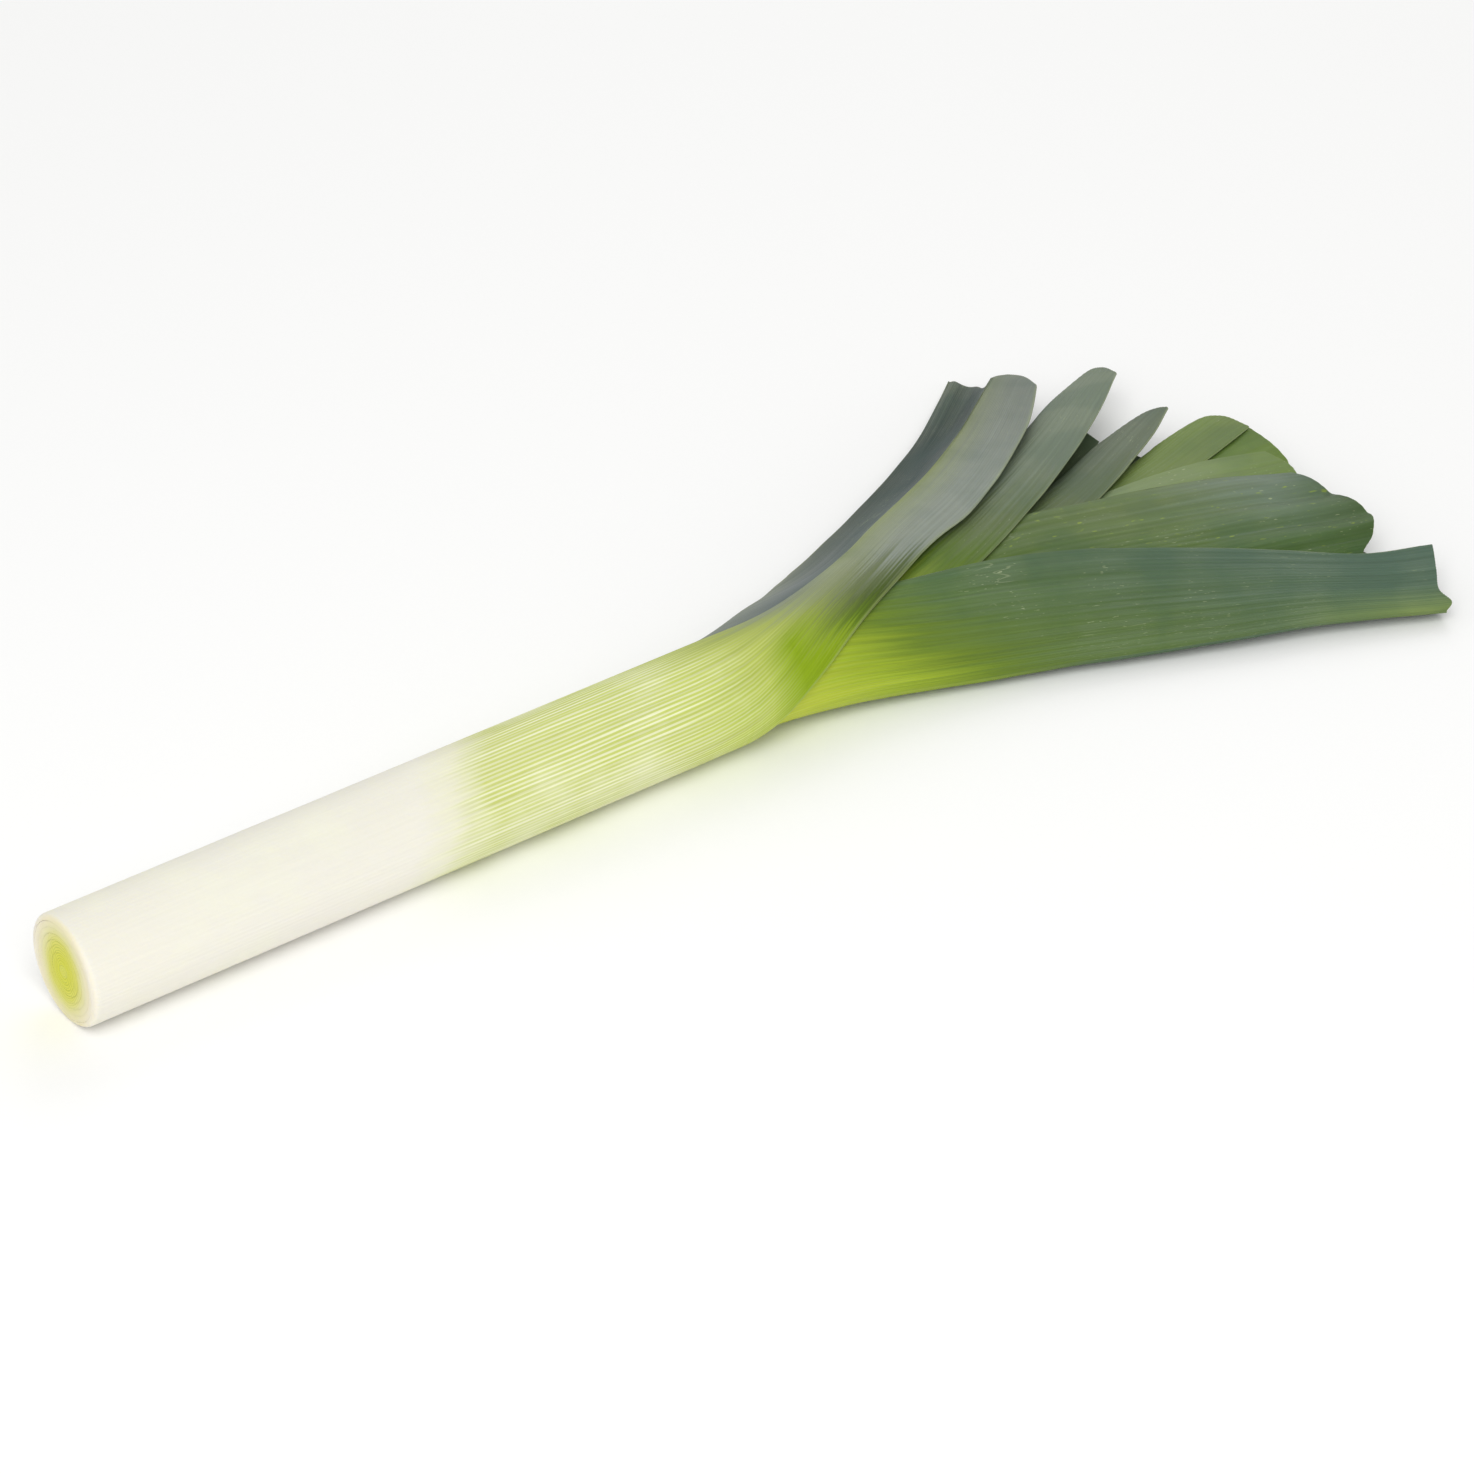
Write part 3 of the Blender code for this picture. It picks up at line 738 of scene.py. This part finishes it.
def link_surface(tree, shader, colour, rough, height, strength, depth):
    """Gives a surface its colour, its roughness and its fine bumps."""
    bump = add(tree, "ShaderNodeBump", {"Strength": strength, "Distance": depth, "Height": height})
    for name, socket in (("Base Color", colour.outputs[2]), ("Roughness", rough.outputs[0]),
                         ("Normal", bump.outputs[0])):
        tree.links.new(socket, shader.inputs[name])


def blend_zones(tree, distance, zones):
    """Colour that passes smoothly through (distance, colour) zones."""
    start, colour = zones[0]
    colour = linear(colour)
    for end, following in zones[1:]:
        colour = blend(tree, ramp(tree, distance, float(start), float(end)), colour, linear(following))
        start = end
    return colour


def zoned_colour(tree, distance, across, zones):
    """Colour of half a leaf: its zones by the fold pass into those by the free margin."""
    by_fold = blend_zones(tree, distance, [(zone[0], zone[1]) for zone in zones])
    by_margin = blend_zones(tree, distance, [(zone[0], zone[-1]) for zone in zones])
    return blend(tree, across, by_fold, by_margin)


def cut_layers(tree):
    """The cut through the layers: a white rim, a pale yellow ring, and a yellow-green middle with fine
    lines, a little taller than it is wide."""
    spot = add(tree, "ShaderNodeTexCoord").outputs["Object"]
    from_axis = add(tree, "ShaderNodeVectorMath", [spot, tuple(CUT_FACE)], operation="SUBTRACT")
    squeezed = stretched(tree, from_axis, CUT_SQUEEZE)
    wobble = noise(tree, squeezed, 160.0, 2.0)
    distance = add(tree, "ShaderNodeVectorMath", [squeezed], operation="LENGTH").outputs["Value"]
    distance = calc(tree, "MULTIPLY", distance, 1 / MM)
    distance = calc(tree, "MULTIPLY_ADD", wobble, CUT_WOBBLE, distance)
    distance = calc(tree, "SUBTRACT", distance, CUT_WOBBLE / 2)
    flesh = blend_zones(tree, distance, CUT_ZONES)
    wave = calc(tree, "SINE", product(tree, distance, 2 * math.pi / CUT_LINE_SPACING))
    lines = product(tree, ramp(tree, wave, 0.2, 1.0, 0.0, 0.6), ramp(tree, distance, 8.0, 13.0, 1.0, 0.0))
    return blend(tree, lines, flesh, tuple(bpy.context.scene.leek_colours.cut_line))


class LeafSurface:
    """Where a point lies on its leaf, and what colours the leaf has there.

    The share is 0 at the fold and 1 at a free margin. The distance along is in mm from the leek's cut end,
    and past is how many mm the point lies beyond the leaf's front. Streaks run along the veins: fine ones a
    vein wide, broad ones several veins wide, and long thin ones. The cloud spreads over all the leaves."""

    def __init__(self, tree, leaf):
        self.tree, self.leaf, self.look = tree, leaf, leaf.look
        self.seed = leaf.number * LEAF_SEED
        self.uv = add(tree, "ShaderNodeUVMap", uv_map="leaf")
        self.skin = add(tree, "ShaderNodeAttribute", attribute_name="skin").outputs["Fac"]
        self.share = add(tree, "ShaderNodeAttribute", attribute_name="share").outputs["Fac"]
        at = add(tree, "ShaderNodeSeparateXYZ", [self.uv]).outputs
        self.across = at["X"]
        self.along = calc(tree, "MULTIPLY", at["Y"], UV_LENGTH)
        self.upper = ramp(tree, self.across, 0.49, 0.51)
        self.fine, self.broad, self.long = (self.streaks(*kind) for kind in (FINE, BROAD, LONG))
        self.cloud = noise(tree, add(tree, "ShaderNodeTexCoord").outputs["Object"], CLOUD_SCALE, 3.0)
        self.past = self.distance_past_front()
        self.on_blade = ramp(tree, self.past, BLADE_FROM, BLADE_FULL)

    def streaks(self, per_vein, per_leaf, pattern, detail=3.0):
        at = stretched(self.tree, self.uv, (self.leaf.veins * per_vein, per_leaf, 1.0))
        return noise(self.tree, at, 1.0, detail, self.seed + pattern)

    def ragged(self, streak, length):
        """A shift of up to half the length to and fro."""
        return calc(self.tree, "MULTIPLY_ADD", streak, length, -length / 2)

    def distance_past_front(self):
        """The front has its look's lean near the mouth, leans the other way on the sheath, and is frayed."""
        tree, mouth = self.tree, self.leaf.mouth
        start, slope, bend = self.look.front
        near_mouth = ramp(tree, self.along, mouth - LEAN_FROM, mouth - LEAN_FULL)
        slope = calc(tree, "MULTIPLY_ADD", self.share, float(bend), float(slope))
        past = calc(tree, "SUBTRACT", self.along, product(tree, slope, self.share, near_mouth))
        past = calc(tree, "SUBTRACT", past, float(start))
        earlier = calc(tree, "MULTIPLY_ADD", self.share, SHEATH_SLOPE, SHEATH_START)
        on_sheath = calc(tree, "SUBTRACT", 1.0, near_mouth)
        past = calc(tree, "ADD", past, product(tree, earlier, on_sheath))
        frayed = calc(tree, "MULTIPLY_ADD", near_mouth, 1 - SHEATH_FRAY, SHEATH_FRAY)
        for streak, length in ((self.broad, BROAD_FRAY), (self.long, LONG_FRAY)):
            past = calc(tree, "ADD", past, product(tree, self.ragged(streak, length), frayed))
        return past

    def over(self, colour, share, name):
        """Lays one of the shared colours on another colour."""
        return blend(self.tree, share, colour, tuple(getattr(bpy.context.scene.leek_colours, name)))

    def zones(self):
        """The colour zones along the leaf, with the painted shade of the lower halves."""
        across = ramp(self.tree, self.share, 0.4, 0.92)
        lower, upper = (zoned_colour(self.tree, self.past, across, zones)
                        for zones in (self.look.shaded_lower_zones, self.look.zones))
        return blend(self.tree, self.upper, lower, upper)

    def stripes(self):
        """Where pale veins run between green ones, as the sheath turns green."""
        tree, mouth = self.tree, self.leaf.mouth
        bent = product(tree, self.broad, 1.4)
        turns = calc(tree, "MULTIPLY_ADD", self.across, 2.0 * self.leaf.veins, bent)
        wave = calc(tree, "SINE", product(tree, turns, 2 * math.pi))
        return product(tree, ramp(tree, wave, -0.45, 0.65),
                       ramp(tree, self.past, STRIPES_FROM, STRIPES_FULL),
                       ramp(tree, self.past, STRIPES_FADE, 0.0, self.look.stripes, 0.0),
                       ramp(tree, self.along, mouth - 36.0, mouth + 8.0, 1.0, 0.25),
                       ramp(tree, self.long, 0.3, 0.7, 0.3, 1.0))

    def sheath(self, colour, stripes):
        """Lays pale clouds and stripes on the sheath, and on the outer leaf a saturated green beside the
        mouth, up to a slanting edge."""
        tree, mouth = self.tree, self.leaf.mouth
        pale = product(tree, ramp(tree, self.cloud, 0.46, 0.72, 0.0, 0.5 * self.look.stripes),
                       ramp(tree, self.past, -60.0, -20.0, 1.0, 0.0))
        colour = self.over(self.over(colour, pale, "pale_vein"), stripes, "pale_vein")
        slant = calc(tree, "MULTIPLY_ADD", self.share, -30.0, self.along)
        slant = calc(tree, "ADD", slant, self.ragged(self.long, LONG_FRAY))
        patch = product(tree, ramp(tree, self.along, mouth + 6.0, mouth + 20.0),
                        ramp(tree, slant, mouth, mouth + 20.0, 1.0, 0.0),
                        ramp(tree, self.share, 0.42, 0.58, 0.0, self.look.green_patch), self.upper)
        return self.over(colour, patch, "green_patch")

    def bands(self, colour):
        """Lays paler bands along the keel and the free margin of the blade. The outer leaf's keel is paler
        on its upper half only."""
        tree, look, mouth = self.tree, self.look, self.leaf.mouth
        keel = product(tree, ramp(tree, self.share, look.keel_share * 0.25, look.keel_share, 0.66, 0.0),
                       ramp(tree, self.along, look.keel_from, look.keel_from + 40.0),
                       ramp(tree, self.along, look.keel_until, look.keel_until + 90.0, 1.0, 0.2),
                       ramp(tree, self.long, 0.3, 0.6, 0.5, 1.0))
        if self.leaf.number == 1:
            keel = product(tree, keel, self.upper)
        colour = blend(tree, keel, colour, linear(look.keel_colour))
        margin = product(tree, ramp(tree, self.share, 0.975, 0.992, 0.0, look.margin_strength),
                         ramp(tree, self.along, mouth, mouth + 12.0),
                         ramp(tree, self.along, mouth + 50.0, mouth + 110.0, 1.0, 0.3))
        return blend(tree, margin, colour, linear(look.margin_colour))

    def marks(self, colour):
        """Lays on the blade bluer places, faint streaks of a matt grey bloom, specks where the bloom is
        rubbed off, yellow flecks, and thin pale lines of healed scratches."""
        tree, cloud = self.tree, self.cloud
        bluer = ramp(tree, cloud, 0.54, 0.38, 0.0, 0.2)
        bloom = ramp(tree, product(tree, cloud, self.long), 0.2, 0.36, 0.0, 0.13)
        specks, flecks = self.streaks(*SPECKS), self.streaks(*FLECKS)
        specks = product(tree, ramp(tree, specks, 0.68, 0.74, 0.0, 0.7), ramp(tree, cloud, 0.48, 0.6))
        flecks = product(tree, ramp(tree, flecks, 0.64, 0.72, 0.0, self.look.flecks),
                         ramp(tree, self.long, 0.48, 0.6))
        wander = noise(tree, stretched(tree, self.uv, SCRATCHES), 1.0, 3.0, self.seed + SCRATCH_PATTERN,
                       Roughness=0.55)
        level = calc(tree, "ABSOLUTE", calc(tree, "SUBTRACT", wander, 0.5))
        scratches = product(tree, ramp(tree, level, 0.001, 0.006, 0.34, 0.0), ramp(tree, cloud, 0.6, 0.68))
        for mark, name in ((bluer, "blue_patch"), (bloom, "bloom"), (specks, "speck"), (flecks, "fleck"),
                           (scratches, "speck")):
            colour = self.over(colour, product(tree, mark, self.on_blade), name)
        return colour

    def toned(self, colour):
        """Darkens and lightens the flesh a little along its fine veins, hardly where it is white, and
        darkens the blade."""
        tree = self.tree
        tone = product(tree, ramp(tree, self.fine, 0.25, 0.75, 0.88, 1.11),
                       ramp(tree, self.long, 0.25, 0.75, 0.93, 1.07))
        greened = ramp(tree, self.past, -118.0, -60.0, 0.14, 1.0)
        tone = add(tree, "ShaderNodeMix", {SHARE: greened, FIRST_VALUE: 1.0, SECOND_VALUE: tone})
        tone = product(tree, tone, ramp(tree, self.past, -45.0, 15.0, 1.0, 0.8))
        return add(tree, "ShaderNodeVectorMath", {0: colour, "Scale": tone}, operation="SCALE")

    def faces(self, colour):
        """Makes the inner face darker and greener, and shows pale flesh on every cut."""
        tree = self.tree
        inside = ramp(tree, self.skin, -0.6, -0.9, 0.0, 0.45)
        bare = ramp(tree, calc(tree, "ABSOLUTE", self.skin), 0.75, 0.97, 0.3, 0.0)
        colour = self.over(self.over(colour, inside, "inner_face"), bare, "cut_flesh")
        at_cut = ramp(tree, self.along, 0.15, 1.3, 1.0, 0.0)
        return blend(tree, at_cut, colour, cut_layers(tree))


def leaf_flesh(leaf):
    """Fresh leek leaf, smooth and turgid under a thin coat of wax: white where it grew under the soil,
    striped where it greens, and blue-green with a matt bloom on the blade, with fine veins all along."""
    material, tree, shader = new_material(f"waxy leek {leaf.name}")
    surface = LeafSurface(tree, leaf)
    stripes = surface.stripes()
    colour = surface.marks(surface.bands(surface.sheath(surface.zones(), stripes)))
    colour = surface.faces(surface.toned(colour))
    rough = ramp(tree, surface.fine, 0.2, 0.8, 0.42, 0.62)
    relief = calc(tree, "MULTIPLY_ADD", stripes, 0.6, surface.fine)
    link_surface(tree, shader, colour, rough, relief, 0.5, 0.16 * MM)
    shader.inputs["IOR"].default_value = 1.42
    shader.inputs["Specular IOR Level"].default_value = 0.27
    shader.inputs["Subsurface Weight"].default_value = 0.14
    shader.inputs["Subsurface Radius"].default_value = (1.0, 0.9, 0.4)
    shader.inputs["Subsurface Scale"].default_value = 0.002
    return material


def heart_flesh():
    """Rolled young leaves: pale yellow, moist and tender, with fine lines along them."""
    colours = bpy.context.scene.leek_colours
    material, tree, shader = new_material("tender leek heart")
    spot = add(tree, "ShaderNodeTexCoord").outputs["Object"]
    streak = noise(tree, stretched(tree, spot, (12.0, 1400.0, 1400.0)), 1.0, 2.0)
    side = blend(tree, ramp(tree, streak, 0.3, 0.7), tuple(colours.heart), tuple(colours.heart_line))
    x = add(tree, "ShaderNodeSeparateXYZ", [spot]).outputs["X"]
    at_cut = ramp(tree, x, CUT_FACE.x + 0.2 * MM, CUT_FACE.x + 1.2 * MM, 1.0, 0.0)
    colour = blend(tree, at_cut, side, cut_layers(tree))
    rough = ramp(tree, streak, 0.2, 0.8, 0.32, 0.48)
    link_surface(tree, shader, colour, rough, streak, 0.4, 0.1 * MM)
    shader.inputs["IOR"].default_value = 1.42
    shader.inputs["Subsurface Weight"].default_value = 0.14
    shader.inputs["Subsurface Scale"].default_value = 0.002
    return material


def plain_floor():
    """Matt white board, lit until it is nearly as bright as paper."""
    material, tree, shader = new_material("matt white board")
    spot = add(tree, "ShaderNodeTexCoord").outputs["Object"]
    tone = tuple(bpy.context.scene.leek_stage.floor_colour)
    paler = tuple(min(1.0, c * 1.02) for c in tone)
    colour = blend(tree, noise(tree, spot, 900.0, 2.0), tone, paler)
    tree.links.new(colour.outputs[2], shader.inputs["Base Color"])
    shader.inputs["Roughness"].default_value = 0.9
    shader.inputs["Specular IOR Level"].default_value = 0.1
    return material


# Settings that a user would change

def colour_setting(name, description, hex_colour):
    return bpy.props.FloatVectorProperty(name=name, description=description, subtype="COLOR", size=4,
                                         min=0, max=1, default=linear(hex_colour))


def number_setting(name, description, default, **kind):
    return bpy.props.FloatProperty(name=name, description=description, default=default, **kind)


class LeekSizes(bpy.types.PropertyGroup):
    """Sizes of the leek's finish."""
    cut_rounding: number_setting("Cut rounding", "Radius of the outer sheath's cut edge", 0.0018,
                                 unit="LENGTH")
    vein_height: number_setting("Vein height", "How far the veins stand out of the outer face", 0.00009,
                                unit="LENGTH")
    wave_height: number_setting("Wave height", "How far the blades swell and sink", 0.0016, unit="LENGTH")
    wave_length: number_setting("Wave length", "Distance from one swell of a blade to the next", 0.034,
                                unit="LENGTH")
    seed: bpy.props.IntProperty(name="Seed", description="Seed of the waves and of the veins' strength",
                                default=5)


class LeekColours(bpy.types.PropertyGroup):
    """Colours that all the leaves share."""
    pale_vein: colour_setting("Pale vein", "The pale lines of the striped sheath", "#F4F4DA")
    bloom: colour_setting("Bloom", "The matt wax on the blades", "#93A092")
    inner_face: colour_setting("Inner face", "The inside of a folded blade", "#4B5C3C")
    cut_flesh: colour_setting("Cut flesh", "The cut edges of the blades", "#B4BF92")
    green_patch: colour_setting("Green patch", "The saturated green beside the mouth", "#8AA800")
    speck: colour_setting("Speck", "Small rubbed spots on the blades", "#B4C095")
    blue_patch: colour_setting("Blue patch", "Where the blades are bluer", "#3F6258")
    fleck: colour_setting("Fleck", "Small yellow flecks on some blades", "#A8BE3C")
    cut_line: colour_setting("Cut line", "The fine lines between the cut layers", "#ABB51E")
    heart: colour_setting("Heart", "The rolled young leaves", "#CFD35A")
    heart_line: colour_setting("Heart line", "The lines along the young leaves", "#BAC23C")


class LeekStage(bpy.types.PropertyGroup):
    """The floor, the light and the camera."""
    floor_colour: colour_setting("Floor", "The plain floor", "#FCFCFB")
    floor_size: number_setting("Floor size", "Width of the floor", 8.0, unit="LENGTH")
    sky: number_setting("Sky", "Strength of the light from all round", 0.58)
    key: number_setting("Key light", "Power of the large light over the camera", 26.0, unit="POWER")
    fill: number_setting("Fill light", "Power of the light behind the leek", 6.5, unit="POWER")
    lens: number_setting("Lens", "Focal length", 135.0, unit="CAMERA")
    elevation: number_setting("Elevation", "How steeply the camera looks down", math.radians(34.6537),
                              subtype="ANGLE")
    heading: number_setting("Heading", "Where it looks, from +Y towards +X", math.radians(37.0039),
                            subtype="ANGLE")
    distance: number_setting("Distance", "From the camera to its target", 1.8448, unit="LENGTH")
    target: bpy.props.FloatVectorProperty(name="Target", description="The floor point the camera looks at",
                                          default=(0.1392, -0.0018, 0.0), subtype="TRANSLATION")


# Operators

def hand_over(obj, node):
    """Says what a finished piece stands for."""
    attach(obj, "root")
    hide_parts(node)


def add_piece(name, mesh):
    obj = bpy.data.objects.new(name, mesh)
    bpy.context.scene.collection.objects.link(obj)
    return obj


def add_leaf(leaf):
    sizes = bpy.context.scene.leek_sizes
    tree = bpy.data.node_groups.get("leaf relief") or relief_tree()
    obj = add_piece(f"waxy_{leaf.name}", leaf_mesh(leaf))
    raise_relief(obj, tree, {
        "Veins": 2.0 * leaf.veins, "Vein Height": sizes.vein_height, "Wave Height": sizes.wave_height,
        "Wave Length": sizes.wave_length, "Mouth": leaf.mouth / UV_LENGTH,
        "Seed": float(sizes.seed + leaf.number), "Flesh": leaf_flesh(leaf)})
    hand_over(obj, leaf.name)


class LEEK_OT_outer_leaf(bpy.types.Operator):
    """Adds the outer leaf, whose sheath is the shaft that shows and whose far half swings out like a roof"""
    bl_idname = "leek.outer_leaf"
    bl_label = "Add outer leaf"

    def execute(self, context):
        add_leaf(FAN[0])
        return {"FINISHED"}


class LEEK_OT_folded_leaves(bpy.types.Operator):
    """Adds the seven folded leaves, by turns to the left and the right of the shaft"""
    bl_idname = "leek.folded_leaves"
    bl_label = "Add folded leaves"

    def execute(self, context):
        for leaf in FAN[1:]:
            add_leaf(leaf)
        return {"FINISHED"}


class LEEK_OT_heart(bpy.types.Operator):
    """Adds the rolled young leaves in the middle of the shaft"""
    bl_idname = "leek.heart"
    bl_label = "Add heart"

    def execute(self, context):
        mesh = heart_mesh()
        mesh.materials.append(heart_flesh())
        hand_over(add_piece("tender_heart", mesh), "heart")
        return {"FINISHED"}


class LEEK_OT_stage(bpy.types.Operator):
    """Adds the floor, the soft studio light and the camera"""
    bl_idname = "leek.stage"
    bl_label = "Add stage"

    def execute(self, context):
        scene = context.scene
        stage = scene.leek_stage
        bm = bmesh.new()
        bmesh.ops.create_grid(bm, x_segments=1, y_segments=1, size=stage.floor_size / 2)
        mesh = bpy.data.meshes.new("floor")
        bm.to_mesh(mesh)
        bm.free()
        mesh.materials.append(plain_floor())
        add_piece("floor", mesh)

        world = bpy.data.worlds.new("soft white studio")
        world.use_nodes = True
        background = world.node_tree.nodes["Background"]
        background.inputs["Color"].default_value = (1, 1, 1, 1)
        background.inputs["Strength"].default_value = stage.sky
        scene.world = world

        target = Vector(stage.target)
        sight = Vector((math.sin(stage.heading) * math.cos(stage.elevation),
                        math.cos(stage.heading) * math.cos(stage.elevation), -math.sin(stage.elevation)))
        camera = bpy.data.objects.new("camera", bpy.data.cameras.new("camera"))
        camera.data.lens = stage.lens
        camera.data.sensor_width = 36
        camera.location = target - sight * stage.distance
        camera.rotation_euler = sight.to_track_quat("-Z", "Y").to_euler()
        scene.collection.objects.link(camera)
        scene.camera = camera

        for name, power, size, spot in (("key light", stage.key, 1.6, Vector((-0.9, -1.1, 1.7))),
                                        ("fill light", stage.fill, 1.2, Vector((1.1, 1.2, 1.3)))):
            light = bpy.data.lights.new(name, "AREA")
            light.energy, light.size = power, size
            lamp = bpy.data.objects.new(name, light)
            lamp.location = target + spot
            lamp.rotation_euler = (-spot).to_track_quat("-Z", "Y").to_euler()
            scene.collection.objects.link(lamp)
        scene.view_settings.view_transform = "Standard"
        return {"FINISHED"}


STEPS = (LEEK_OT_stage, LEEK_OT_outer_leaf, LEEK_OT_folded_leaves, LEEK_OT_heart)


class LEEK_PT_panel(bpy.types.Panel):
    """Lists the leek's settings and the operators that build it"""
    bl_idname = "LEEK_PT_panel"
    bl_label = "Leek"
    bl_space_type = "VIEW_3D"
    bl_region_type = "UI"
    bl_category = "Leek"

    def draw(self, context):
        for step in STEPS:
            self.layout.operator(step.bl_idname)
        for settings in (context.scene.leek_sizes, context.scene.leek_colours, context.scene.leek_stage):
            box = self.layout.box()
            for name in settings.__annotations__:
                box.prop(settings, name)


SETTINGS = {"leek_sizes": LeekSizes, "leek_colours": LeekColours, "leek_stage": LeekStage}
CLASSES = (*SETTINGS.values(), *STEPS, LEEK_PT_panel)


def register():
    for cls in CLASSES:
        bpy.utils.register_class(cls)
    for name, group in SETTINGS.items():
        setattr(bpy.types.Scene, name, bpy.props.PointerProperty(type=group))


def unregister():
    for name in SETTINGS:
        delattr(bpy.types.Scene, name)
    for cls in reversed(CLASSES):
        bpy.utils.unregister_class(cls)


def main():
    register()
    bpy.ops.leek.stage()
    bpy.ops.leek.outer_leaf()
    bpy.ops.leek.folded_leaves()
    bpy.ops.leek.heart()


if __name__ == "__main__":
    main()
